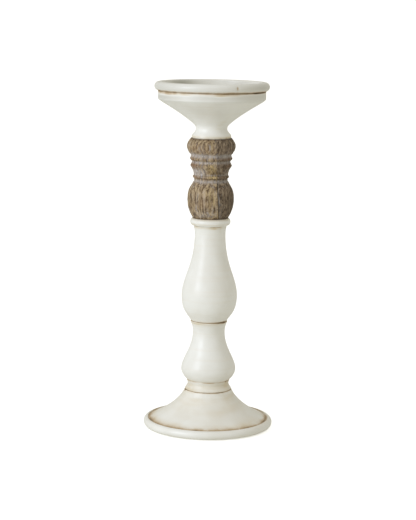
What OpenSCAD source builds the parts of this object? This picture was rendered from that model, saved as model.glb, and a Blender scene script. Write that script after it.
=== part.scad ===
// Pillar candlestick: five turned wooden sections drawn together by a rod up the middle.
// Millimetres, +Z up. The origin is under the middle of the felt the candlestick stands on.

/* [Section heights] */
// Height of the base, from its underside to the seam with the lower baluster
base_h = 39.5; // [32:0.1:60]
// Height of the lower baluster
lower_h = 72.5; // [60:0.1:110]
// Height of the upper baluster
upper_h = 107.5; // [90:0.5:150]
// Height of the bare wood collar
collar_h = 82.3; // [68:0.1:110]
// Height of the candle cup
cup_h = 57.4; // [47:0.2:90]

/* [Base] */
// Diameter across the half-round rim
base_d = 134.6; // [112:0.2:180]
// Thickness of the half-round rim
rim_h = 9.2; // [8:0.2:13]
// How far the rim bulges out past its own edges
rim_bulge = 4.5; // [3:0.5:8]
// Depth of the groove beside the rim
rim_groove = 1.2; // [0.5:0.1:2]
// Diameter at the top seam
base_top_d = 49.6; // [46:0.2:60]

/* [Lower baluster] */
// Diameter of the flared foot
foot_d = 48.4; // [42:0.2:58]
// Diameter of the cove above the foot
foot_cove_d = 42.9; // [35:0.1:46]
// Height of the cove above the seam
foot_cove_z = 6; // [5:0.2:8]
// Height of the scribed line above the cove
scribe_z = 10; // [9:0.2:12]
// Diameter of the round bulb
lower_bulb_d = 56.9; // [47:0.1:70]
// Height of the widest place above the seam
lower_bulb_z = 21.4; // [18:0.1:27]
// Diameter of the slim neck
lower_neck_d = 33.4; // [29:0.1:40]
// Distance of the neck below the top seam
lower_neck_drop = 11.8; // [9:0.2:15]
// Diameter of the flared lip at the top
lip_d = 38.6; // [36:0.2:47]

/* [Upper baluster] */
// Diameter at the bottom seam
upper_foot_d = 38; // [35:0.2:46]
// Diameter of the vase-shaped bulb
upper_bulb_d = 57.8; // [48:0.1:72]
// Height of the widest place above the seam
upper_bulb_z = 26; // [21:0.2:34]
// Diameter of the slim neck
upper_neck_d = 32; // [29:0.1:40]
// Distance of the neck below the top seam
upper_neck_drop = 16.7; // [13:0.1:21]
// Diameter of the ring at the top
ring_d = 41.8; // [38:0.1:52]
// Height of the ring
ring_h = 7.6; // [6:0.2:9]

/* [Wood collar] */
// Diameter of the ball
ball_d = 48.4; // [42:0.2:60]
// Diameter of the ball's foot at the seam
ball_foot_d = 37.6; // [34:0.2:42]
// Height of the ball
ball_h = 37.2; // [31:0.2:42]
// Diameter of the groove over the ball
ball_groove_d = 35; // [31:0.2:38]
// Diameter of the small ring over the ball
small_ring_d = 37.8; // [36:0.2:44]
// Diameter of the cove over the small ring
cove_d = 36; // [32:0.2:38]
// Diameter of the lower middle ring
middle_ring_d = 43; // [40:0.2:50]
// Diameter of the groove between the middle rings
ring_groove_d = 40; // [37:0.2:42]
// Diameter of the upper middle ring
upper_ring_d = 44; // [42:0.2:52]
// Diameter of the groove under the bead
bead_groove_d = 42; // [38:0.2:44]
// Diameter of the bead at the top
bead_d = 50.4; // [44:0.1:60]
// Diameter of the bead's top edge at the seam
bead_top_d = 42.2; // [38:0.2:44]
// Height of the bead at the top
bead_h = 16.6; // [14:0.2:19]
// Distance of the glue line from the middle, at the height of the ball
glue_offset = 8.2; // [7:0.1:9]
// Lean of the glue line, in degrees
glue_lean = 3.2; // [0:0.2:3.6]

/* [Candle cup] */
// Diameter over the rim bead
cup_d = 118; // [98:0.2:145]
// How far the rim bead stands out past the plain band
cup_bead_out = 3.7; // [2:0.1:5]
// Height of the plain band
band_h = 8.7; // [7:0.1:11]
// Height of the rim bead
cup_bead_h = 9.3; // [7:0.1:12]
// Width of the rim from the dish to the outside of the band
lip_w = 5.4; // [4:0.2:9]
// Depth of the dish the candle stands in
dish_h = 12; // [8:0.5:14]
// Rounding of the dish, at its floor and at its mouth
dish_round = 1.8; // [1:0.2:3]
// Diameter where the waist runs into the cone
cone_foot_d = 44.4; // [39:0.2:53]
// Height where the waist runs into the cone
cone_foot_z = 17.4; // [15:0.2:20]
// Diameter of the waist under the dish
waist_d = 32.4; // [29:0.2:37]
// Height of the waist above the seam
waist_z = 9.8; // [8:0.2:12]
// Diameter of the foot at the seam
cup_foot_d = 40.6; // [38:0.2:44]
// Height of the foot's straight edge
cup_foot_h = 3.6; // [2:0.2:5]

/* [Joints inside] */
// Diameter of the turned spigots
spigot_d = 22; // [20:0.5:24]
// Length of the spigots
spigot_h = 9; // [6:0.5:12]
// Play around a spigot in its socket
spigot_play = 0.15; // [0.1:0.05:0.3]
// Play past the end of a spigot
spigot_end_play = 1; // [0.5:0.5:2]
// Diameter of the tie rod
rod_d = 8; // [6:0.5:8]
// Play around the rod in its bore
rod_play = 0.5; // [0.3:0.1:0.8]
// Outside diameter of the threaded insert
insert_d = 12; // [11:0.5:14]
// Length of the threaded insert
insert_h = 14; // [10:1:16]
// Diameter of the washer
washer_d = 24; // [18:1:28]
// Thickness of the washer
washer_h = 2; // [1:0.5:3]
// Size of the nut across its flats
nut_flats = 13; // [12:0.5:15]
// Height of the nut
nut_h = 6.5; // [5:0.5:8]
// Length of rod left below the nut
rod_tail = 1.5; // [0.5:0.5:3]
// Diameter of the pocket under the base
pocket_d = 34; // [30:1:44]

/* [Felt] */
// How far the felt's edge lies in from the edge of the underside
felt_inset = 7.8; // [4:0.2:20]
// Thickness of the felt disc
felt_h = 2; // [1:0.5:3]
// Depth the felt is let into the base
felt_recess = 1.2; // [0.5:0.1:1.5]
// Play around the felt in its recess
felt_play = 0.5; // [0.2:0.1:1]

/* [Hidden] */

$fn = 96;
curve_steps = 12;
eps = 0.01;

band_d = cup_d - 2 * cup_bead_out;
felt_d = base_d - 2 * rim_bulge - 2 * felt_inset;

// Seams, counted up from the tabletop
base_z = felt_h - felt_recess;
lower_z = base_z + base_h;
upper_z = lower_z + lower_h;
collar_z = upper_z + upper_h;
cup_z = collar_z + collar_h;

// Hardware, from the pocket up
pocket_h = felt_recess + rod_tail + nut_h + washer_h + 1;
washer_z = base_z + pocket_h - washer_h;
nut_z = washer_z - nut_h;
rod_z = nut_z - rod_tail;
insert_z = cup_z + 1;
rod_top_z = insert_z + insert_h;

white = "#e9e6dc";
washed_wood = "#94794f";
darker_wood = "#806a49";
steel = "#a9abad";
felt_grey = "#6b6a66";

// Points of one smooth stretch from p0 to p1. Each pull is the [radius, height] lead out of its end.
function stretch(p0, pull0, p1, pull1) = [
    for (i = [1:curve_steps])
        let (t = i / curve_steps, s = 1 - t)
            s * s * s * p0
            + 3 * s * s * t * (p0 + pull0)
            + 3 * s * t * t * (p1 + pull1)
            + t * t * t * p1
];

// Points of a half-round bead of radius r0 at its edges and r1 at its middle, between heights z0 and z1.
function bead(r0, r1, z0, z1, steps = 10) = [
    for (i = [0:steps])
        let (a = 180 * i / steps)
            [r0 + (r1 - r0) * sin(a), (z0 + z1) / 2 - (z1 - z0) / 2 * cos(a)]
];

// Points of a sunk groove, the same way round as a bead.
function groove(r0, r1, z0, z1) = bead(r0, r1, z0, z1, 6);

// A solid turned from a profile that starts and ends on the axis.
module turned(profile) {
    rotate_extrude()
        polygon(concat([[0, profile[0][1]]], profile, [[0, profile[len(profile) - 1][1]]]));
}

// The spigot under a section whose seam is at height 0.
module spigot() {
    translate([0, 0, -spigot_h])
        cylinder(h = spigot_h + eps, d = spigot_d);
}

// The socket in the top of a section of height h.
module socket(h) {
    translate([0, 0, h - spigot_h - spigot_end_play])
        cylinder(h = spigot_h + spigot_end_play + eps, d = spigot_d + 2 * spigot_play);
}

// The bore for the rod, right through a section of height h and its spigot.
module rod_bore(h) {
    translate([0, 0, -spigot_h - 1])
        cylinder(h = h + spigot_h + 2, d = rod_d + 2 * rod_play);
}

// A section with its spigot below, its socket above and the rod's bore through both.
module section(h, profile) {
    difference() {
        union() {
            turned(profile);
            spigot();
        }
        socket(h);
        rod_bore(h);
    }
}

base_profile = let (
    rim_r = base_d / 2,
    edge_r = rim_r - rim_bulge,
    flare_r = edge_r - 2 * rim_groove,
    top_r = base_top_d / 2,
    flare_w = flare_r - top_r,
    flare_h = base_h - rim_h
) concat(
    bead(edge_r, rim_r, 0, rim_h),
    [[edge_r - rim_groove, rim_h - rim_groove]],
    [[flare_r, rim_h]],
    stretch([flare_r, rim_h], [-0.52 * flare_w, 0.26 * flare_h],
        [top_r, base_h - 0.8], [0.11 * flare_w, -0.31 * flare_h]),
    [[top_r - 0.8, base_h]]
);

module base() {
    color(white)
        translate([0, 0, base_z])
            difference() {
                turned(base_profile);
                socket(base_h);
                rod_bore(base_h);
                translate([0, 0, -eps])
                    cylinder(h = pocket_h + eps, d = pocket_d);
                translate([0, 0, -eps])
                    cylinder(h = felt_recess + eps, d = felt_d + 2 * felt_play);
            }
}

module base_felt() {
    color(felt_grey)
        cylinder(h = felt_h, d = felt_d);
}

lower_profile = let (
    foot_r = foot_d / 2,
    cove_r = foot_cove_d / 2,
    scribe_r = cove_r + 1,
    bulb_r = lower_bulb_d / 2,
    slim_r = lower_neck_d / 2,
    slim_z = lower_h - lower_neck_drop,
    lip_r = lip_d / 2,
    bulb_rise = slim_z - lower_bulb_z
) concat(
    [[foot_r - 0.6, 0], [foot_r, 0.6]],
    stretch([foot_r, 0.6], [-0.9, 0.26 * foot_cove_z], [cove_r, foot_cove_z], [0, -0.22 * foot_cove_z]),
    stretch([cove_r, foot_cove_z], [0, 1.4], [scribe_r, scribe_z - 0.6], [-0.4, -1]),
    groove(scribe_r, scribe_r - 0.4, scribe_z - 0.5, scribe_z + 0.5),
    stretch([scribe_r, scribe_z + 0.5], [1, 0.05 * (lower_bulb_z - scribe_z)],
        [bulb_r, lower_bulb_z], [0, -0.45 * (lower_bulb_z - scribe_z)]),
    stretch([bulb_r, lower_bulb_z], [0, 0.27 * bulb_rise], [slim_r, slim_z], [0, -0.45 * bulb_rise]),
    stretch([slim_r, slim_z], [0, 0.36 * lower_neck_drop], [lip_r, lower_h - 0.8], [-1.4, -3.2]),
    [[lip_r - 0.8, lower_h]]
);

module lower_baluster() {
    color(white)
        translate([0, 0, lower_z])
            section(lower_h, lower_profile);
}

upper_profile = let (
    foot_r = upper_foot_d / 2,
    bulb_r = upper_bulb_d / 2,
    slim_r = upper_neck_d / 2,
    slim_z = upper_h - upper_neck_drop,
    bulb_rise = slim_z - upper_bulb_z,
    ring_r = ring_d / 2,
    ring_z = upper_h - ring_h
) concat(
    [[foot_r - 0.8, 0], [foot_r, 0.5]],
    stretch([foot_r, 0.5], [0.44 * (bulb_r - foot_r), 0.26 * upper_bulb_z],
        [bulb_r, upper_bulb_z], [0, -0.57 * upper_bulb_z]),
    stretch([bulb_r, upper_bulb_z], [0, 0.3 * bulb_rise], [slim_r, slim_z], [0, -0.51 * bulb_rise]),
    stretch([slim_r, slim_z], [0, 0.3 * (ring_z - slim_z)],
        [slim_r + 1.2, ring_z - 0.4], [-0.8, -0.4 * (ring_z - slim_z)]),
    bead(ring_r - 3, ring_r, ring_z, upper_h)
);

module upper_baluster() {
    color(white)
        translate([0, 0, upper_z])
            section(upper_h, upper_profile);
}

collar_profile = let (
    foot_r = ball_foot_d / 2,
    ball_r = ball_d / 2,
    ball_mid = 0.53 * ball_h,
    ball_edge_r = ball_r - 5.6,
    groove_r = ball_groove_d / 2,
    small_r = small_ring_d / 2,
    cove_r = cove_d / 2,
    middle_r = middle_ring_d / 2,
    between_r = ring_groove_d / 2,
    upper_r = upper_ring_d / 2,
    under_r = bead_groove_d / 2,
    bead_r = bead_d / 2,
    top_r = bead_top_d / 2,
    bead_z = collar_h - bead_h,
    rings_h = bead_z - ball_h,
    small_z = ball_h + 0.2 * rings_h,
    cove_z = ball_h + 0.3 * rings_h,
    middle_z = ball_h + 0.6 * rings_h,
    between_z = ball_h + 0.74 * rings_h,
    upper_z = ball_h + 0.86 * rings_h
) concat(
    [[foot_r - 0.8, 0], [foot_r, 0.6]],
    stretch([foot_r, 0.6], [0.1, 0.02 * ball_h], [ball_r, ball_mid], [0, -0.6 * ball_mid]),
    stretch([ball_r, ball_mid], [0, 0.66 * (ball_h - ball_mid)],
        [ball_edge_r, ball_h], [1.1, -0.23 * (ball_h - ball_mid)]),
    [[groove_r, ball_h + 1.4], [groove_r, small_z - 1.8]],
    bead(groove_r + 0.3, small_r, small_z - 1.6, small_z + 1.4, 6),
    stretch([cove_r, cove_z], [0, 0.1 * (middle_z - cove_z)],
        [middle_r - 0.5, middle_z - 1.4], [-2.4, -0.36 * (middle_z - cove_z)]),
    bead(middle_r - 0.4, middle_r, middle_z - 1, middle_z + 1, 4),
    [[between_r, between_z - 0.6], [between_r, between_z + 0.4]],
    bead(upper_r - 0.6, upper_r, upper_z - 1.4, upper_z + 1, 4),
    [[under_r, bead_z - 1.4], [under_r, bead_z - 0.4]],
    stretch([under_r + 0.3, bead_z], [1.2, 0.02 * bead_h],
        [bead_r, bead_z + 0.5 * bead_h], [0, -0.2 * bead_h]),
    stretch([bead_r, bead_z + 0.5 * bead_h], [0, 0.23 * bead_h],
        [top_r + 0.4, collar_h - 0.3], [0.6, -0.04 * bead_h]),
    [[top_r, collar_h]]
);

module whole_collar() {
    translate([0, 0, collar_z])
        section(collar_h, collar_profile);
}

// Everything on one side of the leaning glue line, which the two blocks are cut by.
module glue_side(side) {
    reach = collar_h + bead_d + ball_d;
    translate([glue_offset, 0, collar_z + ball_h / 2])
        rotate([0, -glue_lean, 0])
            translate([side * reach / 2, 0, 0])
                cube([reach, reach, 2 * reach], center = true);
}

module collar_wide_block() {
    color(washed_wood)
        intersection() {
            whole_collar();
            glue_side(-1);
        }
}

module collar_narrow_block() {
    color(darker_wood)
        intersection() {
            whole_collar();
            glue_side(1);
        }
}

cup_profile = let (
    rim_r = cup_d / 2,
    band_r = band_d / 2,
    bead_z = cup_h - cup_bead_h,
    band_z = bead_z - band_h,
    waist_r = waist_d / 2,
    foot_r = cup_foot_d / 2,
    cone_r = cone_foot_d / 2,
    cone_w = band_r - 0.6 - cone_r,
    cone_h = band_z - cone_foot_z
) concat(
    [[foot_r - 0.6, 0], [foot_r, 0.6], [foot_r - 0.1, cup_foot_h - 0.6], [foot_r - 0.4, cup_foot_h]],
    stretch([foot_r - 0.4, cup_foot_h], [-1.5, 0.34 * (waist_z - cup_foot_h)],
        [waist_r, waist_z], [0, -0.48 * (waist_z - cup_foot_h)]),
    stretch([waist_r, waist_z], [0, 0.42 * (cone_foot_z - waist_z)],
        [cone_r, cone_foot_z], [-0.4 * (cone_r - waist_r), -0.26 * (cone_foot_z - waist_z)]),
    stretch([cone_r, cone_foot_z], [0.5 * cone_w, 0.58 * cone_h],
        [cone_r + cone_w, band_z], [-0.1 * cone_w, -0.16 * cone_h]),
    [[band_r, band_z + 0.6], [band_r, bead_z]],
    bead(band_r - 0.8, rim_r, bead_z + 0.2, cup_h)
);

// The hollow of the dish, rounded at its floor and over its mouth.
dish_profile = let (dish_r = band_d / 2 - lip_w) concat(
    [for (a = [0:15:90]) [dish_r - dish_round + dish_round * sin(a), dish_round - dish_round * cos(a)]],
    [for (a = [0:15:90]) [dish_r + dish_round - dish_round * cos(a), dish_h - dish_round + dish_round * sin(a)]],
    [[dish_r + dish_round, dish_h + 1]]
);

module candle_cup() {
    color(white)
        translate([0, 0, cup_z])
            difference() {
                union() {
                    turned(cup_profile);
                    spigot();
                }
                translate([0, 0, cup_h - dish_h])
                    turned(dish_profile);
                translate([0, 0, -spigot_h - 1])
                    cylinder(h = spigot_h + 2, d = rod_d + 2 * rod_play);
                translate([0, 0, insert_z - cup_z])
                    cylinder(h = insert_h + 1, d = insert_d);
            }
}

module tie_rod() {
    color(steel)
        translate([0, 0, rod_z])
            cylinder(h = rod_top_z - rod_z, d = rod_d);
}

module cup_insert() {
    color(steel)
        translate([0, 0, insert_z])
            difference() {
                cylinder(h = insert_h, d = insert_d);
                translate([0, 0, -1])
                    cylinder(h = insert_h + 2, d = rod_d);
            }
}

module rod_washer() {
    color(steel)
        translate([0, 0, washer_z])
            difference() {
                cylinder(h = washer_h, d = washer_d);
                translate([0, 0, -1])
                    cylinder(h = washer_h + 2, d = rod_d + 2 * rod_play);
            }
}

module rod_nut() {
    color(steel)
        translate([0, 0, nut_z])
            difference() {
                cylinder(h = nut_h, d = nut_flats / cos(30), $fn = 6);
                translate([0, 0, -1])
                    cylinder(h = nut_h + 2, d = rod_d);
            }
}

base();
base_felt();
lower_baluster();
upper_baluster();
collar_wide_block();
collar_narrow_block();
candle_cup();
tie_rod();
cup_insert();
rod_washer();
rod_nut();
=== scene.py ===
# Pillar candlestick: painted and lime-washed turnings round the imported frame.
import math

import bmesh
import bpy
import numpy as np
from mathutils import Matrix, Vector


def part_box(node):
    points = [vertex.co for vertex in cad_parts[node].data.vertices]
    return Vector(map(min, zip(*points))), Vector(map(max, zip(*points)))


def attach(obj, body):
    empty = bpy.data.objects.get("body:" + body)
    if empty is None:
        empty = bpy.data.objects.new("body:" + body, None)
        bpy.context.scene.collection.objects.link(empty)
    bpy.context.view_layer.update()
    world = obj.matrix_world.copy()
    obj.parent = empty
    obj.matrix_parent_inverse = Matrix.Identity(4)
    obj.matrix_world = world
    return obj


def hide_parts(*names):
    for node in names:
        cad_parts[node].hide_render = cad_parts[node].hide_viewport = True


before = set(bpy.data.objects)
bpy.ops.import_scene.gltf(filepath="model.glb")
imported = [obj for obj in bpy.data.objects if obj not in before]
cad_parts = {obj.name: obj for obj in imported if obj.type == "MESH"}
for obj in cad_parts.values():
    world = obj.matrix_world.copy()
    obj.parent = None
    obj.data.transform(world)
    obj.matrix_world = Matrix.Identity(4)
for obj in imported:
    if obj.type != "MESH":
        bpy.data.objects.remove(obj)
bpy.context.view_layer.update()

mm = 0.001
root = "root"


def boxOf(node):
    low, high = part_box(node)
    return [v / mm for v in low], [v / mm for v in high]


def widthOf(*nodes):
    boxes = [boxOf(node) for node in nodes]
    return max(high[0] for low, high in boxes) - min(low[0] for low, high in boxes)


# Seams between the turned sections, counted up from the tabletop in millimetres
baseZ = boxOf("base")[0][2]
lowerZ = boxOf("base")[1][2]
upperZ = boxOf("lower_baluster")[1][2]
collarZ = boxOf("upper_baluster")[1][2]
cupZ = boxOf("collar_wide_block")[1][2]
topZ = boxOf("candle_cup")[1][2]
print("frame read: seams at", [round(z, 1) for z in (baseZ, lowerZ, upperZ, collarZ, cupZ, topZ)])


cameraSet = {
    "away": 1740, "height": 450, "lens": 117.69,
    "downDegrees": 8.95, "turnDegrees": 0.06, "rollDegrees": 0.796,
}


def makeCamera(s):
    data = bpy.data.cameras.new("camera")
    data.lens = s["lens"]
    data.sensor_width = 36
    data.clip_start, data.clip_end = 0.05, 50
    camera = bpy.data.objects.new("camera", data)
    bpy.context.scene.collection.objects.link(camera)
    turn = (
        Matrix.Rotation(math.radians(s["turnDegrees"]), 4, "Z")
        @ Matrix.Rotation(math.radians(90 - s["downDegrees"]), 4, "X")
        @ Matrix.Rotation(math.radians(s["rollDegrees"]), 4, "Z")
    )
    camera.matrix_world = Matrix.Translation((0, -s["away"] * mm, s["height"] * mm)) @ turn
    bpy.context.scene.camera = camera


studio = {
    "skyColour": (1.0, 0.980, 0.910, 1), "skyStrength": 0.66,
    "floorColour": (0.93, 0.93, 0.93, 1), "floorGlow": 0.55,
    "bounceColour": (0.60, 0.60, 0.60, 1), "bounceGlowColour": (1.0, 0.97, 0.65, 1),
    "bounceGlow": 0.16, "bounceDrop": 0.001,
    "keyColour": (0.80, 0.86, 1.0), "keyPower": 28, "keySize": (0.9, 1.7),
    "keyPlace": (-1.75, -1.35, 0.95), "keyAim": (0, 0, 0.18),
}


def makePaper(name, colour, glowColour, glow, drop):
    # a floor that sweeps up into a backdrop, in metres
    front, back, high, side, bend, steps = -4.0, 5.0, 4.0, 6.0, 1.5, 16
    line = [(front, 0.0), (back - bend, 0.0)]
    line += [
        (back - bend + bend * math.sin(a), bend - bend * math.cos(a))
        for a in (math.radians(90 * i / steps) for i in range(1, steps + 1))
    ]
    line += [(back, high)]
    mesh = bpy.data.meshes.new(name)
    points = [(x, y, z - drop) for y, z in line for x in (-side, side)]
    faces = [(2 * i, 2 * i + 1, 2 * i + 3, 2 * i + 2) for i in range(len(line) - 1)]
    mesh.from_pydata(points, [], faces)
    mesh.shade_smooth()
    paper = bpy.data.objects.new(name, mesh)
    bpy.context.scene.collection.objects.link(paper)
    material = bpy.data.materials.new(name + "Paper")
    material.use_nodes = True
    shader = material.node_tree.nodes["Principled BSDF"]
    shader.inputs["Base Color"].default_value = colour
    shader.inputs["Roughness"].default_value = 0.9
    shader.inputs["Specular IOR Level"].default_value = 0.1
    shader.inputs["Emission Color"].default_value = glowColour
    shader.inputs["Emission Strength"].default_value = glow
    mesh.materials.append(material)
    return paper


def makeStudio(s):
    world = bpy.data.worlds.new("studio")
    bpy.context.scene.world = world
    world.use_nodes = True
    sky = world.node_tree.nodes["Background"]
    sky.inputs["Color"].default_value = s["skyColour"]
    sky.inputs["Strength"].default_value = s["skyStrength"]
    data = bpy.data.lights.new("keyLight", "AREA")
    data.shape = "RECTANGLE"
    data.size, data.size_y = s["keySize"]
    data.energy = s["keyPower"]
    data.color = s["keyColour"]
    light = bpy.data.objects.new("keyLight", data)
    bpy.context.scene.collection.objects.link(light)
    place = Vector(s["keyPlace"])
    toward = Vector(s["keyAim"]) - place
    turn = toward.to_track_quat("-Z", "Y").to_matrix().to_4x4()
    light.matrix_world = Matrix.Translation(place) @ turn
    # the white floor shows, and the greyer one under it throws light up at the candlestick
    floor = makePaper("floor", s["floorColour"], (1, 1, 1, 1), s["floorGlow"], 0.0)
    floor.visible_diffuse = floor.visible_glossy = floor.visible_shadow = False
    bounce = makePaper(
        "bounceFloor", s["bounceColour"], s["bounceGlowColour"], s["bounceGlow"], s["bounceDrop"]
    )
    bounce.visible_camera = False


makeCamera(cameraSet)
makeStudio(studio)
bpy.context.scene.view_settings.view_transform = "Standard"
print("camera, floor and light set")


def stretch(p0, pull0, p1, pull1, steps=26):
    # a smooth stretch of a profile, each pull the lead out of its end
    p0, pull0, p1, pull1 = (np.array(v, float) for v in (p0, pull0, p1, pull1))
    made = []
    for i in range(1, steps + 1):
        t = i / steps
        s = 1 - t
        point = s ** 3 * p0 + 3 * s * s * t * (p0 + pull0) + 3 * s * t * t * (p1 + pull1) + t ** 3 * p1
        made.append(tuple(point))
    return made


def bead(r0, r1, z0, z1, steps=22):
    # a rounded moulding, of radius r0 at z0 and z1 and r1 half way up
    made = []
    for i in range(steps + 1):
        a = math.pi * i / steps
        made.append((r0 + (r1 - r0) * math.sin(a), (z0 + z1) / 2 - (z1 - z0) / 2 * math.cos(a)))
    return made


def soften(points, reach, sharpest=18):
    # rounds every corner of an open line, never reaching further than half way along a side
    made = [points[0]]
    for before, here, after in zip(points, points[1:], points[2:]):
        a, b, c = (np.array(p, float) for p in (before, here, after))
        inLength, outLength = np.linalg.norm(b - a), np.linalg.norm(c - b)
        into, out = (b - a) / inLength, (c - b) / outLength
        bend = math.degrees(math.acos(max(-1, min(1, float(into @ out)))))
        if bend < sharpest:
            made.append(tuple(b))
            continue
        cut = min(reach, 0.45 * inLength, 0.45 * outLength)
        start, end = b - into * cut, b + out * cut
        for i in range(5):
            t = i / 4
            made.append(tuple((1 - t) ** 2 * start + 2 * t * (1 - t) * b + t * t * end))
    return made + [points[-1]]


def fill(points, step):
    # splits long sides, so that no two rings of the turning are further apart than step
    made = [points[0]]
    for a, b in zip(points, points[1:]):
        parts = max(1, math.ceil(math.dist(a, b) / step))
        made += [tuple(a[k] + (b[k] - a[k]) * i / parts for k in (0, 1)) for i in range(1, parts + 1)]
    return made


def raised(points, z):
    return [(r, h + z) for r, h in points]


inside = {  # what holds the sections together, the same for all of them
    "spigotR": 11, "spigotH": 9, "socketR": 11.15, "socketH": 10, "boreR": 4.5,
}


def hollow(height, pocket=None):
    # the inner line of a section, from its top seam down: socket, bore, then its pocket or its spigot
    s = inside
    socketZ = height - s["socketH"]
    down = [(s["socketR"], height), (s["socketR"], socketZ), (s["boreR"], socketZ)]
    if pocket:
        return down + pocket
    return down + [(s["boreR"], -s["spigotH"]), (s["spigotR"], -s["spigotH"]), (s["spigotR"], 0)]


def addNode(tree, kind, links=None, **settings):
    node = tree.nodes.new(kind)
    for name, value in settings.items():
        setattr(node, name, value)
    for name, value in (links or {}).items():
        socket = node.inputs[name]
        if isinstance(value, bpy.types.NodeSocket):
            tree.links.new(value, socket)
        else:
            socket.default_value = value
    return node


def mathNode(tree, operation, *values):
    return addNode(tree, "ShaderNodeMath", dict(enumerate(values)), operation=operation).outputs[0]


def plus(tree, first, second):
    return mathNode(tree, "ADD", first, second)


def times(tree, first, second):
    return mathNode(tree, "MULTIPLY", first, second)


def scaledPlace(tree, place, scale):
    return addNode(tree, "ShaderNodeVectorMath", {0: place, 1: scale}, operation="MULTIPLY").outputs[0]


sharpAngle = 40  # degrees between two faces that leave an edge
wearSet = {
    "weld": 0.000004, "broadScale": 55.0, "rippleScale": 30.0, "rippleSquash": (0.4, 0.4, 14),
    "fibreSquash": (1, 1, 0.07), "fibreFrom": 0.62, "fibreTo": 0.42,
}


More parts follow.
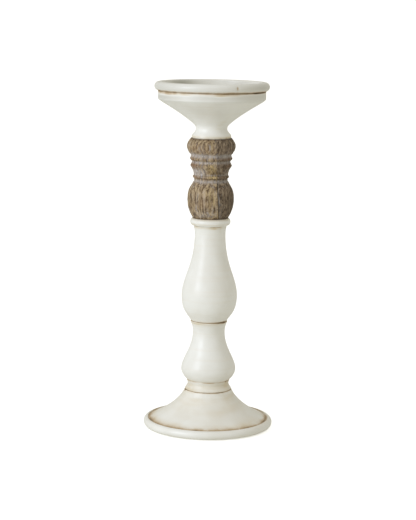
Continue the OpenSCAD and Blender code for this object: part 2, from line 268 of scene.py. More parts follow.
def turningTree(s):
    # a profile line (radius in X, height in Z) turned about the axis, then worn a little inward
    tree = bpy.data.node_groups.new("turnedSection", "GeometryNodeTree")
    sockets = tree.interface
    sockets.new_socket("Profile", in_out="INPUT", socket_type="NodeSocketGeometry")
    for name, kind, value in (
        ("Sides", "NodeSocketInt", 192),
        ("Unevenness", "NodeSocketFloat", 0.0001),
        ("Ripple", "NodeSocketFloat", 0.00004),
        ("Grain Depth", "NodeSocketFloat", 0.0),
        ("Grain Width", "NodeSocketFloat", 0.0012),
        ("Seed", "NodeSocketInt", 1),
        ("Finish", "NodeSocketMaterial", None),
    ):
        made = sockets.new_socket(name, in_out="INPUT", socket_type=kind)
        if value is not None:
            made.default_value = value
    sockets.new_socket("Section", in_out="OUTPUT", socket_type="NodeSocketGeometry")
    given = tree.nodes.new("NodeGroupInput").outputs
    result = tree.nodes.new("NodeGroupOutput")

    rings = addNode(
        tree, "GeometryNodeAttributeDomainSize", {"Geometry": given["Profile"]}, component="MESH"
    ).outputs["Point Count"]
    across = plus(tree, given["Sides"], 1.0)
    grid = addNode(
        tree, "GeometryNodeMeshGrid", {"Vertices X": across, "Vertices Y": rings}
    ).outputs["Mesh"]
    index = tree.nodes.new("GeometryNodeInputIndex").outputs[0]
    column = mathNode(tree, "FLOOR", mathNode(tree, "DIVIDE", plus(tree, index, 0.5), rings))
    row = mathNode(tree, "SUBTRACT", index, times(tree, column, rings))
    angle = times(tree, mathNode(tree, "DIVIDE", column, given["Sides"]), math.tau)

    def sampled(kind, value):
        node = addNode(tree, "GeometryNodeSampleIndex", data_type=kind, domain="POINT")
        tree.links.new(given["Profile"], node.inputs["Geometry"])
        tree.links.new(value, node.inputs["Value"])
        tree.links.new(row, node.inputs["Index"])
        return node.outputs["Value"]

    place = tree.nodes.new("GeometryNodeInputPosition").outputs[0]
    onLine = addNode(tree, "ShaderNodeSeparateXYZ", {0: sampled("FLOAT_VECTOR", place)})
    x = times(tree, onLine.outputs["X"], mathNode(tree, "COSINE", angle))
    y = times(tree, onLine.outputs["X"], mathNode(tree, "SINE", angle))
    turned = addNode(tree, "ShaderNodeCombineXYZ", {"X": x, "Y": y, "Z": onLine.outputs["Z"]}).outputs[0]
    mesh = grid

    def named(name):
        node = addNode(tree, "GeometryNodeInputNamedAttribute", {"Name": name}, data_type="FLOAT")
        return node.outputs["Attribute"]

    for name in ("wash", "stain", "give"):
        mesh = addNode(
            tree, "GeometryNodeStoreNamedAttribute",
            {"Geometry": mesh, "Name": name, "Value": sampled("FLOAT", named(name))},
            data_type="FLOAT", domain="POINT",
        ).outputs["Geometry"]
    mesh = addNode(tree, "GeometryNodeSetPosition", {"Geometry": mesh, "Position": turned}).outputs[0]
    mesh = addNode(tree, "GeometryNodeMergeByDistance", {"Geometry": mesh, "Distance": s["weld"]}).outputs[0]

    def noise(scale, stretchBy, detail):
        vector = scaledPlace(tree, place, stretchBy)
        return addNode(
            tree, "ShaderNodeTexNoise",
            {"Vector": vector, "W": given["Seed"], "Scale": scale, "Detail": detail},
            noise_dimensions="4D",
        ).outputs[0]

    broad = times(tree, noise(s["broadScale"], (1, 1, 1), 2.0), given["Unevenness"])
    ripple = times(tree, noise(s["rippleScale"], s["rippleSquash"], 1.0), given["Ripple"])
    fineScale = mathNode(tree, "DIVIDE", 1.0, given["Grain Width"])
    fibre = noise(1.0, s["fibreSquash"], 3.0)
    tree.links.new(fineScale, fibre.node.inputs["Scale"])
    cut = addNode(
        tree, "ShaderNodeMapRange",
        {
            "Value": fibre, "From Min": s["fibreFrom"], "From Max": s["fibreTo"],
            "To Min": 0.0, "To Max": 1.0,
        },
        interpolation_type="SMOOTHSTEP",
    ).outputs["Result"]
    scored = times(tree, cut, given["Grain Depth"])
    worn = plus(tree, plus(tree, broad, ripple), scored)
    inward = times(tree, times(tree, worn, named("give")), -1.0)
    normal = tree.nodes.new("GeometryNodeInputNormal").outputs[0]
    offset = addNode(
        tree, "ShaderNodeVectorMath", {0: normal, "Scale": inward}, operation="SCALE"
    ).outputs[0]
    mesh = addNode(tree, "GeometryNodeSetPosition", {"Geometry": mesh, "Offset": offset}).outputs[0]

    # smooth all over, with an edge wherever two faces meet at more than the sharp angle
    edge = tree.nodes.new("GeometryNodeInputMeshEdgeAngle").outputs["Unsigned Angle"]
    sharp = addNode(
        tree, "FunctionNodeCompare", {0: edge, 1: math.radians(sharpAngle)},
        data_type="FLOAT", operation="GREATER_THAN",
    ).outputs[0]
    mesh = addNode(
        tree, "GeometryNodeSetShadeSmooth", {"Geometry": mesh, "Shade Smooth": True}, domain="FACE"
    ).outputs[0]
    mesh = addNode(
        tree, "GeometryNodeSetShadeSmooth",
        {"Geometry": mesh, "Selection": sharp, "Shade Smooth": False}, domain="EDGE",
    ).outputs[0]
    mesh = addNode(tree, "GeometryNodeRealizeInstances", {"Geometry": mesh}).outputs[0]
    finished = addNode(
        tree, "GeometryNodeSetMaterial", {"Geometry": mesh, "Material": given["Finish"]}
    ).outputs[0]
    tree.links.new(finished, result.inputs["Section"])
    return tree


turning = turningTree(wearSet)
fadeIn = 0.8  # millimetres from a seam over which the wear sets in


def turn(name, outer, inner, seamZ, marks, finish, settings):
    # outer and inner are lines in millimetres over the seam
    # marks are rings of wash, and of stain and painted light: (radius, height over the seam, reach, strength)
    line = raised(list(outer) + list(inner), seamZ)
    count = len(outer)
    mesh = bpy.data.meshes.new(name + "Profile")
    sides = [(i, i + 1) for i in range(len(line) - 1)]
    mesh.from_pydata([(r * mm, 0, z * mm) for r, z in line], sides, [])
    for attribute in ("wash", "stain"):
        values = []
        for i, (r, z) in enumerate(line):
            amount = 0.0
            if i < count:
                for markR, height, reach, strength in marks.get(attribute, ()):
                    away = math.hypot(r - markR, z - seamZ - height)
                    amount += strength * math.exp(-((away / reach) ** 2))
            values.append(max(-1.0, min(1.0, amount)))
        mesh.attributes.new(attribute, "FLOAT", "POINT").data.foreach_set("value", values)
    gives = [
        min(1.0, math.dist(point, line[0]) / fadeIn, math.dist(point, line[count - 1]) / fadeIn)
        if i < count else 0.0
        for i, point in enumerate(line)
    ]
    mesh.attributes.new("give", "FLOAT", "POINT").data.foreach_set("value", gives)
    shape = bpy.data.objects.new(name + "Shape", mesh)
    bpy.context.scene.collection.objects.link(shape)
    modifier = shape.modifiers.new("turning", "NODES")
    modifier.node_group = turning
    values = dict(settings, Finish=finish)
    for item in turning.interface.items_tree:
        if item.item_type == "SOCKET" and item.in_out == "INPUT" and item.name in values:
            modifier[item.identifier] = values[item.name]
    bpy.context.view_layer.update()
    evaluated = shape.evaluated_get(bpy.context.evaluated_depsgraph_get())
    made = bpy.data.meshes.new_from_object(evaluated)
    made.name = name
    shape.modifiers.clear()
    bpy.data.objects.remove(shape)
    piece = bpy.data.objects.new(name, made)
    bpy.context.scene.collection.objects.link(piece)
    return piece


def coordinates(mesh):
    points = np.zeros(len(mesh.vertices) * 3)
    mesh.vertices.foreach_get("co", points)
    return points.reshape(-1, 3) / mm


def softSpots(points, seamZ, spots):
    # adds up soft spots, each with its degrees right of the front, its height over the seam,
    # its half width and half height, and its strength
    radius = np.hypot(points[:, 0], points[:, 1])
    around = np.degrees(np.arctan2(points[:, 0], -points[:, 1]))
    total = np.zeros(len(points))
    for degrees, height, wide, tall, strength in spots:
        off = (around - degrees + 180) % 360 - 180
        sideways = np.radians(off) * radius / wide
        upward = (points[:, 2] - seamZ - height) / tall
        total += strength * np.exp(-(sideways ** 2) - upward ** 2)
    return total


def dab(piece, seamZ, attribute, spots, dish=None):
    # dish is the (radius, height) of a hollow that the spots leave clean
    mesh = piece.data
    given = mesh.attributes["give"].data
    give, values = np.zeros(len(mesh.vertices)), np.zeros(len(mesh.vertices))
    given.foreach_get("value", give)
    mesh.attributes[attribute].data.foreach_get("value", values)
    points = coordinates(mesh)
    outside = give > 0
    if dish:
        outside &= (np.hypot(points[:, 0], points[:, 1]) > dish[0]) | (points[:, 2] - seamZ < dish[1])
    values += softSpots(points, seamZ, spots) * outside
    mesh.attributes[attribute].data.foreach_set("value", np.clip(values, -1, 1))


def nick(piece, seamZ, spots):
    # presses small dents toward the axis, their strength in millimetres
    mesh = piece.data
    points = coordinates(mesh)
    radius = np.maximum(np.hypot(points[:, 0], points[:, 1]), 1)
    points[:, :2] *= (1 - softSpots(points, seamZ, spots) / radius)[:, None]
    mesh.vertices.foreach_set("co", (points * mm).ravel())
    mesh.update()


def newFinish(name):
    material = bpy.data.materials.new(name)
    material.use_nodes = True
    tree = material.node_tree
    tree.nodes.clear()
    shader = tree.nodes.new("ShaderNodeBsdfPrincipled")
    out = tree.nodes.new("ShaderNodeOutputMaterial")
    tree.links.new(shader.outputs[0], out.inputs["Surface"])
    return material, tree, shader


def objectPlace(tree):
    return tree.nodes.new("ShaderNodeTexCoord").outputs["Object"]


def attributeOf(tree, name):
    return addNode(tree, "ShaderNodeAttribute", attribute_name=name).outputs["Fac"]


def noiseNode(tree, vector, scale, detail=3.0, roughness=0.5, distortion=0.0):
    values = {
        "Vector": vector, "Scale": scale, "Detail": detail,
        "Roughness": roughness, "Distortion": distortion,
    }
    return addNode(tree, "ShaderNodeTexNoise", values)


def noiseOf(tree, *values):
    return noiseNode(tree, *values).outputs[0]


def spread(tree, value, low, high, to=(0.0, 1.0), smooth=True):
    return addNode(
        tree, "ShaderNodeMapRange",
        {"Value": value, "From Min": low, "From Max": high, "To Min": to[0], "To Max": to[1]},
        interpolation_type="SMOOTHSTEP" if smooth else "LINEAR",
    ).outputs["Result"]


def mixColour(tree, share, first, second):
    node = tree.nodes.new("ShaderNodeMix")
    node.data_type = "RGBA"
    for name, value in (("Factor_Float", share), ("A_Color", first), ("B_Color", second)):
        socket = next(i for i in node.inputs if i.identifier == name)
        if isinstance(value, bpy.types.NodeSocket):
            tree.links.new(value, socket)
        else:
            socket.default_value = value
    return next(o for o in node.outputs if o.identifier == "Result_Color")


def above(tree, value):
    # what there is of a value over zero
    return mathNode(tree, "MAXIMUM", value, 0.0)


def below(tree, value):
    return above(tree, times(tree, value, -1.0))


def centred(tree, noise):
    return mathNode(tree, "SUBTRACT", noise, 0.5)


def bumpOf(tree, height, distance, strength, under=None):
    links = {"Height": height, "Distance": distance, "Strength": strength}
    if under is not None:
        links["Normal"] = under
    return addNode(tree, "ShaderNodeBump", links).outputs[0]


paintSet = {
    "cream": (0.862, 0.856, 0.808, 1), "greyCream": (0.810, 0.797, 0.738, 1),
    "warmCream": (0.80, 0.735, 0.62, 1), "tan": (0.50, 0.37, 0.22, 1), "tint": (0.66, 0.555, 0.365, 1),
    # the last colour on the next line is the grey of painted shade
    "brown": (0.115, 0.072, 0.036, 1), "paintedShade": (0.50, 0.49, 0.43, 1),
    # strokes a metre along the turn, up the piece and out from its axis
    "strokesRound": 14.0, "strokesUp": 330.0, "strokesOut": 190.0, "broader": (0.8, 0.8, 0.28),
    "cloudScale": 32.0, "unevenScale": 70.0, "raggedScale": 420.0, "speckScale": 900.0,
    "roughness": (0.30, 0.40), "washRoughness": 0.22, "specular": 0.45,
    "strokeRelief": (0.00015, 0.2), "cloudRelief": (0.0009, 0.35), "speckRelief": (0.00005, 0.35),
}


def antiquePaint(name, s):
    # wash turns the cream tan and then brown; stain tints it, and where it is under zero it paints shade,
    # greying the cream
    material, tree, shader = newFinish(name)
    place = objectPlace(tree)
    parts = addNode(tree, "ShaderNodeSeparateXYZ", {0: place})
    flatPlace = scaledPlace(tree, place, (1, 1, 0))
    radius = addNode(tree, "ShaderNodeVectorMath", {0: flatPlace}, operation="LENGTH").outputs["Value"]
    upAndOut = plus(
        tree, times(tree, parts.outputs["Z"], s["strokesUp"]), times(tree, radius, s["strokesOut"])
    )
    strokeAt = addNode(tree, "ShaderNodeCombineXYZ", {
        "X": times(tree, parts.outputs["X"], s["strokesRound"]),
        "Y": times(tree, parts.outputs["Y"], s["strokesRound"]),
        "Z": upAndOut,
    }).outputs[0]
    strokes = noiseOf(tree, strokeAt, 1.0, 2.0, 0.5)
    broadStrokes = noiseOf(tree, scaledPlace(tree, strokeAt, s["broader"]), 1.0, 2.0)
    cloud = noiseOf(tree, place, s["cloudScale"], 3.0)
    speck = noiseOf(tree, place, s["speckScale"], 2.0, 0.6)
    colour = mixColour(tree, spread(tree, cloud, 0.35, 0.68), s["cream"], s["greyCream"])
    colour = mixColour(tree, spread(tree, strokes, 0.5, 0.78, (0.0, 0.22)), colour, s["warmCream"])
    colour = mixColour(tree, spread(tree, broadStrokes, 0.52, 0.75, (0.0, 0.30)), colour, s["greyCream"])

    wash, stain = attributeOf(tree, "wash"), attributeOf(tree, "stain")
    uneven = noiseOf(tree, place, s["unevenScale"], 3.0, 0.6)
    ragged = noiseOf(tree, place, s["raggedScale"], 3.0, 0.6)
    streaky = plus(tree, times(tree, uneven, 0.6), times(tree, strokes, 1.1))
    stained = times(tree, stain, spread(tree, streaky, 0.55, 1.15, (0.05, 1.5), smooth=False))
    colour = mixColour(tree, above(tree, stained), colour, s["tint"])
    # painted shade: stain under zero greys the cream under the cup's rim bead, on the dish's left inner wall
    # and in hollows
    colour = mixColour(tree, below(tree, stain), colour, s["paintedShade"])
    washed = times(tree, wash, spread(tree, uneven, 0.30, 0.70, (0.62, 1.2), smooth=False))
    washed = plus(tree, washed, times(tree, centred(tree, ragged), times(tree, wash, 0.5)))
    colour = mixColour(tree, spread(tree, washed, 0.10, 0.55), colour, s["tan"])
    colour = mixColour(tree, spread(tree, washed, 0.42, 1.0), colour, s["brown"])
    tree.links.new(colour, shader.inputs["Base Color"])

    rough = plus(
        tree, spread(tree, strokes, 0.3, 0.7, s["roughness"]), times(tree, washed, s["washRoughness"])
    )
    tree.links.new(rough, shader.inputs["Roughness"])
    shader.inputs["Specular IOR Level"].default_value = s["specular"]
    relief = bumpOf(tree, strokes, *s["strokeRelief"])
    relief = bumpOf(tree, cloud, *s["cloudRelief"], relief)
    relief = bumpOf(tree, speck, *s["speckRelief"], relief)
    tree.links.new(relief, shader.inputs["Normal"])
    return material


# noises drawn out along the grain: squash up the piece, scale, detail, roughness, distortion
grainNoises = {
    "fibres": (0.16, 700.0, 3.0, 0.6, 0.0), "pores": (0.12, 1500.0, 2.0, 0.5, 0.0),
    "streaks": (0.20, 430.0, 3.0, 0.65, 0.0), "mottle": (0.6, 520.0, 2.0, 0.6, 0.8),
    "veins": (0.20, 380.0, 2.0, 0.6, 0.0),
}
grain = {  # the same in both blocks
    "wander": 0.010, "wanderScale": 60.0, "wanderSquash": 0.45, "knotSquash": 0.55, "patchScale": 75.0,
    "glueLine": (0.045, 0.032, 0.020, 1), "roughness": (0.88, 0.66), "specular": 0.3,
    "toneRelief": (0.0009, 0.8), "poreRelief": (0.0003, 0.5),
}
# each block's gold colour is that of its painted glints
woodSet = {
    "wide": {
        "dark": (0.090, 0.060, 0.034, 1), "middle": (0.265, 0.190, 0.108, 1),
        "light": (0.500, 0.385, 0.238, 1), "rust": (0.230, 0.118, 0.050, 1),
        "glintGold": (0.600, 0.450, 0.210, 1), "lime": (0.520, 0.480, 0.460, 1), "limeStreaks": 0.42,
        "pith": (0.030, -0.075), "ringWidth": 0.0042, "ringShow": 0.14,
        "knot": (-0.0150, -0.0180, 0.2370), "knotSize": 0.0090, "knotRings": 2.2,
    },
    "narrow": {
        "dark": (0.075, 0.054, 0.035, 1), "middle": (0.205, 0.152, 0.100, 1),
        "light": (0.370, 0.290, 0.205, 1), "rust": (0.150, 0.085, 0.045, 1),
        "glintGold": (0.420, 0.320, 0.170, 1), "lime": (0.420, 0.390, 0.370, 1), "limeStreaks": 0.36,
        "pith": (0.080, 0.010), "ringWidth": 0.0034, "ringShow": 0.10,
        "knot": (0.3, 0.3, 0.3), "knotSize": 0.0050, "knotRings": 0.0,
    },
}


def vectorNode(tree, operation, first, second):
    return addNode(tree, "ShaderNodeVectorMath", {0: first, 1: second}, operation=operation)


def growthRings(tree, bent, s):
    # rings round the pith, drawn round the knot where one is near
    toPith = vectorNode(tree, "DISTANCE", scaledPlace(tree, bent, (1, 1, 0)), (*s["pith"], 0))
    squash = grain["knotSquash"]
    knotX, knotY, knotZ = s["knot"]
    toKnot = vectorNode(
        tree, "DISTANCE", scaledPlace(tree, bent, (1, 1, squash)), (knotX, knotY, knotZ * squash)
    )
    near = mathNode(tree, "DIVIDE", toKnot.outputs["Value"], s["knotSize"])
    swell = mathNode(tree, "EXPONENT", times(tree, times(tree, near, near), -1.0))
    count = mathNode(tree, "DIVIDE", toPith.outputs["Value"], s["ringWidth"])
    ring = mathNode(tree, "FRACT", plus(tree, count, times(tree, swell, s["knotRings"])))
    return mathNode(tree, "MINIMUM", spread(tree, ring, 0.0, 0.72), spread(tree, ring, 1.0, 0.84))


def washedWood(name, s):
    # wash leaves lime, or darkens where it is under zero; stain reddens as rust, and where it is under zero
    # paints gold glints, a painted highlight
    material, tree, shader = newFinish(name)
    place = objectPlace(tree)
    # the grain runs up the piece and wanders a little
    wanderAt = scaledPlace(tree, place, (1, 1, grain["wanderSquash"]))
    bendBy = noiseNode(tree, wanderAt, grain["wanderScale"], 2.0).outputs["Color"]
    bend = vectorNode(tree, "SUBTRACT", bendBy, (0.5, 0.5, 0.5)).outputs[0]
    wander = scaledPlace(tree, bend, (grain["wander"], grain["wander"], 0.0))
    bent = vectorNode(tree, "ADD", wander, place).outputs[0]
    ring = growthRings(tree, bent, s)

    def along(kind):
        squash, *values = grainNoises[kind]
        return noiseOf(tree, scaledPlace(tree, bent, (1, 1, squash)), *values)

    fibres, pores, streaks, mottle, veins = (
        along(kind) for kind in ("fibres", "pores", "streaks", "mottle", "veins")
    )
    patches = noiseOf(tree, place, grain["patchScale"], 3.0)
    tone = plus(tree, times(tree, ring, s["ringShow"]), times(tree, streaks, 0.75))
    tone = plus(tree, tone, times(tree, centred(tree, fibres), 0.55))
    tone = plus(tree, tone, times(tree, centred(tree, mottle), 0.45))
    colour = mixColour(tree, spread(tree, tone, 0.29, 0.44), s["dark"], s["middle"])
    colour = mixColour(tree, spread(tree, tone, 0.43, 0.62), colour, s["light"])

    rustAndGlint = attributeOf(tree, "stain")
    rusty = times(
        tree, spread(tree, patches, 0.42, 0.62, (0.25, 1.0)),
        plus(tree, times(tree, above(tree, rustAndGlint), 0.8), 0.10),
    )
    colour = mixColour(tree, rusty, colour, s["rust"])
    # painted highlight: gold glints where the stain is under zero, down the front of the rings
    paintedGlint = times(tree, below(tree, rustAndGlint), spread(tree, mottle, 0.38, 0.58, (0.2, 1.0)))
    colour = mixColour(tree, paintedGlint, colour, s["glintGold"])

    lime = attributeOf(tree, "wash")
    held = times(tree, lime, spread(tree, mottle, 0.30, 0.62, (0.40, 1.15), smooth=False))
    held = plus(tree, held, times(tree, spread(tree, veins, 0.56, 0.68), s["limeStreaks"]))
    held = times(tree, held, spread(tree, fibres, 0.68, 0.40, (0.35, 1.0), smooth=False))
    colour = mixColour(tree, above(tree, held), colour, s["lime"])
    colour = mixColour(tree, below(tree, lime), colour, s["dark"])
    colour = mixColour(tree, spread(tree, pores, 0.42, 0.30, (0.0, 0.6)), colour, s["dark"])
    glue = attributeOf(tree, "glue")
    colour = mixColour(tree, spread(tree, glue, 0.20, 0.65, (0.0, 0.9)), colour, grain["glueLine"])
    colour = mixColour(tree, spread(tree, glue, -0.25, -0.9, (0.0, 0.38)), colour, s["lime"])
    tree.links.new(colour, shader.inputs["Base Color"])
    tree.links.new(spread(tree, tone, 0.2, 0.8, grain["roughness"]), shader.inputs["Roughness"])
    shader.inputs["Specular IOR Level"].default_value = grain["specular"]
    relief = bumpOf(tree, tone, *grain["toneRelief"])
    relief = bumpOf(tree, pores, *grain["poreRelief"], relief)
    tree.links.new(relief, shader.inputs["Normal"])
    return material


steelSet = {
    "dull": (0.52, 0.53, 0.54, 1), "bright": (0.66, 0.66, 0.64, 1),
    "spangleScale": 160.0, "scratchScale": 220.0, "scratchSquash": 20, "roughness": (0.28, 0.48),
    "relief": (0.0001, 0.3),
}


def steelFinish(name, s):
    material, tree, shader = newFinish(name)
    place = objectPlace(tree)
    spangle = noiseOf(tree, place, s["spangleScale"], 2.0)
    scratchAt = scaledPlace(tree, place, (1, 1, s["scratchSquash"]))
    scratch = noiseOf(tree, scratchAt, s["scratchScale"], 3.0)
    tree.links.new(mixColour(tree, spangle, s["dull"], s["bright"]), shader.inputs["Base Color"])
    shader.inputs["Metallic"].default_value = 1.0
    tree.links.new(spread(tree, scratch, 0.3, 0.7, s["roughness"]), shader.inputs["Roughness"])
    tree.links.new(bumpOf(tree, scratch, *s["relief"]), shader.inputs["Normal"])
    return material


feltSet = {
    "dark": (0.12, 0.11, 0.10, 1), "light": (0.24, 0.225, 0.205, 1), "worn": (0.17, 0.155, 0.14, 1),
    "fuzzScale": 1400.0, "patchScale": 90.0, "roughness": (0.92, 1.0), "specular": 0.1, "sheen": 0.4,
    "relief": (0.0006, 0.9),
}


def feltFinish(name, s):
    material, tree, shader = newFinish(name)
    place = objectPlace(tree)
    fuzz = noiseOf(tree, place, s["fuzzScale"], 4.0, 0.7, 1.5)
    patch = noiseOf(tree, place, s["patchScale"], 3.0)
    colour = mixColour(tree, spread(tree, fuzz, 0.3, 0.7), s["dark"], s["light"])
    colour = mixColour(tree, spread(tree, patch, 0.4, 0.7, (0.0, 0.35)), colour, s["worn"])
    tree.links.new(colour, shader.inputs["Base Color"])
    tree.links.new(spread(tree, fuzz, 0.3, 0.7, s["roughness"]), shader.inputs["Roughness"])
    shader.inputs["Specular IOR Level"].default_value = s["specular"]
    shader.inputs["Sheen Weight"].default_value = s["sheen"]
    tree.links.new(bumpOf(tree, fuzz, *s["relief"]), shader.inputs["Normal"])
    return material


finishes = {
    "paint": antiquePaint("antiqueWhitePaint", paintSet),
    "wide": washedWood("limeWashedWood", woodSet["wide"]),
    "narrow": washedWood("darkerLimeWashedWood", woodSet["narrow"]),
    "steel": steelFinish("zincPlatedSteel", steelSet),
    "felt": feltFinish("greyFelt", feltSet),
}
print("finishes made")


# Outlines run up the outside of a section and down its inside, in millimetres over its bottom seam
ringStep = 0.8
woodRingStep = 0.5

baseSet = {
    "rimH": 9.2, "bulge": 4.5, "groove": 1.2, "topR": 24.8, "topEdge": 0.8, "rounding": 0.6,
    "feltR": 55.5, "feltDeep": 1.2, "pocketR": 17, "pocketDeep": 12.2,
    "marks": {
        "wash": [
            (61.3, 8.7, 1.6, 0.48), (59.0, 9.5, 3.2, 0.30), (24.2, 39.3, 0.45, 0.95),
            (63.0, 0.0, 1.0, 0.35),
        ],
        "stain": [
            (58.0, 9.8, 4.0, 0.32), (24.8, 37.6, 2.4, 0.34), (27.0, 34.0, 5.0, 0.26),
            (34.0, 24.0, 8.0, 0.20), (46.0, 15.0, 10.0, 0.20), (57.0, 10.6, 4.0, 0.22),
            (66.0, 1.8, 1.6, 0.14),
        ],
    },
    "washDabs": [
        (-75, 38.9, 1.5, 1.3, 0.95), (-48, 39.3, 8, 0.6, -0.40), (20, 39.2, 9, 0.6, 0.50),
        (60, 39.2, 6, 0.6, -0.15), (-75, 8.8, 18, 1.2, 0.04), (-48, 8.8, 14, 1.2, 0.04),
        (62, 8.8, 12, 1.2, -0.15), (80, 8.6, 14, 1.2, 0.20), (-8.6, 3.6, 0.8, 1.7, 0.30),
        (14.5, 4.6, 1.2, 1.5, 0.10), (150, 8.6, 20, 1.0, 0.20), (-140, 39.2, 9, 0.6, 0.20),
    ],
    "stainAndLightDabs": [
        (52, 34, 9, 3.5, 0.30), (70, 22, 14, 6, 0.26), (60, 12, 18, 4, 0.42), (42, 22, 13, 6, 0.12),
        (58, 18, 20, 9, -0.12), (15, 20, 10, 3, 0.14), (-20, 33, 8, 2.5, 0.20), (-60, 14, 14, 4, -0.08),
        (12, 27, 9, 4, -0.10), (35, 16, 12, 4, -0.10), (-170, 24, 18, 6, 0.2), (120, 18, 16, 5, 0.2),
    ],
    "nicks": [(-8.6, 3.6, 0.9, 1.6, 0.35), (105, 5.0, 1.4, 1.2, 0.4)],
}


def baseLine(s):
    height = lowerZ - baseZ
    rimR = widthOf("base") / 2
    edgeR = rimR - s["bulge"]
    flareR = edgeR - 2 * s["groove"]
    wide, tall = flareR - s["topR"], height - s["rimH"]
    outer = bead(edgeR, rimR, 0, s["rimH"])
    outer += [(edgeR - s["groove"], s["rimH"] - s["groove"]), (flareR, s["rimH"])]
    outer += stretch(
        (flareR, s["rimH"]), (-0.52 * wide, 0.26 * tall),
        (s["topR"], height - s["topEdge"]), (0.11 * wide, -0.31 * tall), 48,
    )
    outer += [(s["topR"] - s["topEdge"], height)]
    inner = hollow(height, pocket=[
        (inside["boreR"], s["pocketDeep"]), (s["pocketR"], s["pocketDeep"]), (s["pocketR"], s["feltDeep"]),
        (s["feltR"], s["feltDeep"]), (s["feltR"], 0), (edgeR, 0),
    ])
    return fill(soften(outer, s["rounding"]), ringStep), inner


whiteTurning = {"Sides": 224, "Unevenness": 0.00012, "Ripple": 0.00002, "Seed": 3}

base = turn("base_turned", *baseLine(baseSet), baseZ, baseSet["marks"], finishes["paint"], whiteTurning)
dab(base, baseZ, "wash", baseSet["washDabs"])
dab(base, baseZ, "stain", baseSet["stainAndLightDabs"])
nick(base, baseZ, baseSet["nicks"])
print("base turned")


lowerSet = {
    "footR": 24.2, "coveR": 21.45, "coveZ": 6, "scribeZ": 10, "bulbZ": 21.4,
    "neckR": 16.7, "neckDrop": 11.8, "lipR": 19.3, "lipEdge": 0.8, "rounding": 0.5,
    "marks": {
        "wash": [(23.7, 0.0, 0.45, 0.50), (22.1, 10.0, 0.60, 0.34), (18.6, 72.5, 0.70, 0.60)],
        "stain": [
            (22.3, 10.4, 1.6, 0.26), (22.0, 5.0, 4.6, 0.44), (23.8, 1.0, 1.6, 0.25),
            (18.8, 71.0, 1.8, 0.30),
        ],
    },
    "washDabs": [
        (-50, 72.2, 7, 0.9, -0.20), (30, 72.2, 7, 1.0, 0.40), (58, 72.0, 6, 1.2, 0.60),
        (-82, 72.2, 5, 0.8, 0.25), (-38, 10.2, 4, 0.7, 0.12), (4, 9.8, 5, 0.7, 0.24),
        (24, 10.0, 3, 0.5, -0.10), (56, 10.6, 1.2, 3.2, 0.42), (66, 10.4, 1.3, 3.4, 0.50),
        (150, 10, 8, 0.7, 0.25), (-130, 72.2, 7, 0.8, 0.3),
    ],
    "stainAndLightDabs": [
        (-70, 10.6, 4, 1.0, 0.45), (-38, 10.6, 7, 0.9, 0.35), (6, 9.6, 7, 0.9, 0.35),
        (60, 10.2, 5, 3.0, 0.50), (-40, 71.6, 8, 1.2, 0.65), (62, 5, 5, 4, 0.45), (-50, 4, 8, 4, 0.18),
        (170, 10, 9, 1.0, 0.4),
    ],
    "nicks": [(57, 11.0, 0.9, 2.6, 0.25), (66, 10.6, 0.9, 2.8, 0.25)],
}


def lowerLine(s):
    height = upperZ - lowerZ
    bulbR = widthOf("lower_baluster") / 2
    neckZ = height - s["neckDrop"]
    scribeR = s["coveR"] + 1
    rise = neckZ - s["bulbZ"]
    outer = [(s["footR"] - 0.6, 0), (s["footR"], 0.6)]
    outer += stretch(
        (s["footR"], 0.6), (-0.9, 0.26 * s["coveZ"]), (s["coveR"], s["coveZ"]), (0, -0.22 * s["coveZ"]), 12
    )
    outer += stretch((s["coveR"], s["coveZ"]), (0, 1.4), (scribeR, s["scribeZ"] - 0.6), (-0.4, -1), 8)
    outer += bead(scribeR, scribeR - 0.4, s["scribeZ"] - 0.5, s["scribeZ"] + 0.5, 8)
    swell = s["bulbZ"] - s["scribeZ"]
    outer += stretch(
        (scribeR, s["scribeZ"] + 0.5), (1, 0.05 * swell), (bulbR, s["bulbZ"]), (0, -0.45 * swell)
    )
    outer += stretch((bulbR, s["bulbZ"]), (0, 0.27 * rise), (s["neckR"], neckZ), (0, -0.45 * rise), 40)
    outer += stretch(
        (s["neckR"], neckZ), (0, 0.36 * s["neckDrop"]), (s["lipR"], height - s["lipEdge"]), (-1.4, -3.2)
    )
    outer += [(s["lipR"] - s["lipEdge"], height)]
    return fill(soften(outer, s["rounding"]), ringStep), hollow(height) + [outer[0]]


lower = turn(
    "lower_baluster_turned", *lowerLine(lowerSet), lowerZ, lowerSet["marks"], finishes["paint"],
    dict(whiteTurning, Seed=5),
)
dab(lower, lowerZ, "wash", lowerSet["washDabs"])
dab(lower, lowerZ, "stain", lowerSet["stainAndLightDabs"])
nick(lower, lowerZ, lowerSet["nicks"])
print("lower baluster turned")


upperSet = {
    "footR": 19, "bulbZ": 26, "neckR": 16, "neckDrop": 16.7,
    "ringR": 20.9, "ringOut": 3, "ringH": 7.6, "rounding": 0.5,
    "marks": {
        "wash": [(18.4, 0.0, 0.60, 0.55), (17.5, 99.7, 0.80, 0.34), (17.9, 107.5, 0.8, 0.60)],
        "stain": [
            (18.8, 1.0, 1.6, 0.28), (17.4, 98.6, 1.8, 0.34), (19.5, 106.8, 1.6, 0.40),
            (20.6, 101.8, 0.9, 0.26),
        ],
    },
    "washDabs": [
        (30, 0.2, 7, 0.9, 0.40), (58, 0.3, 6, 1.1, 0.55), (12, 99.4, 4, 0.6, 0.22),
        (34, 99.8, 3, 0.8, 0.30), (-55, 100, 3, 0.8, 0.16), (-140, 0.2, 7, 0.8, 0.3),
        (165, 99.6, 5, 0.7, 0.3),
    ],
    "stainAndLightDabs": [
        (16, 97.6, 3.5, 1.3, 0.50), (3, 98.4, 4, 0.8, 0.30), (40, 96.5, 1.2, 3.0, 0.25),
        (-58, 101, 4, 2.4, 0.25), (-60, 5, 8, 3, 0.14), (55, 60, 6, 14, -0.06), (46, 28, 5, 8, -0.08),
        (-30, 12, 6, 5, 0.08), (8, 88, 4, 7, 0.05),
    ],
    "nicks": [(16, 98.2, 2.4, 0.5, 0.2), (34, 100.2, 1.0, 0.9, 0.3)],
}


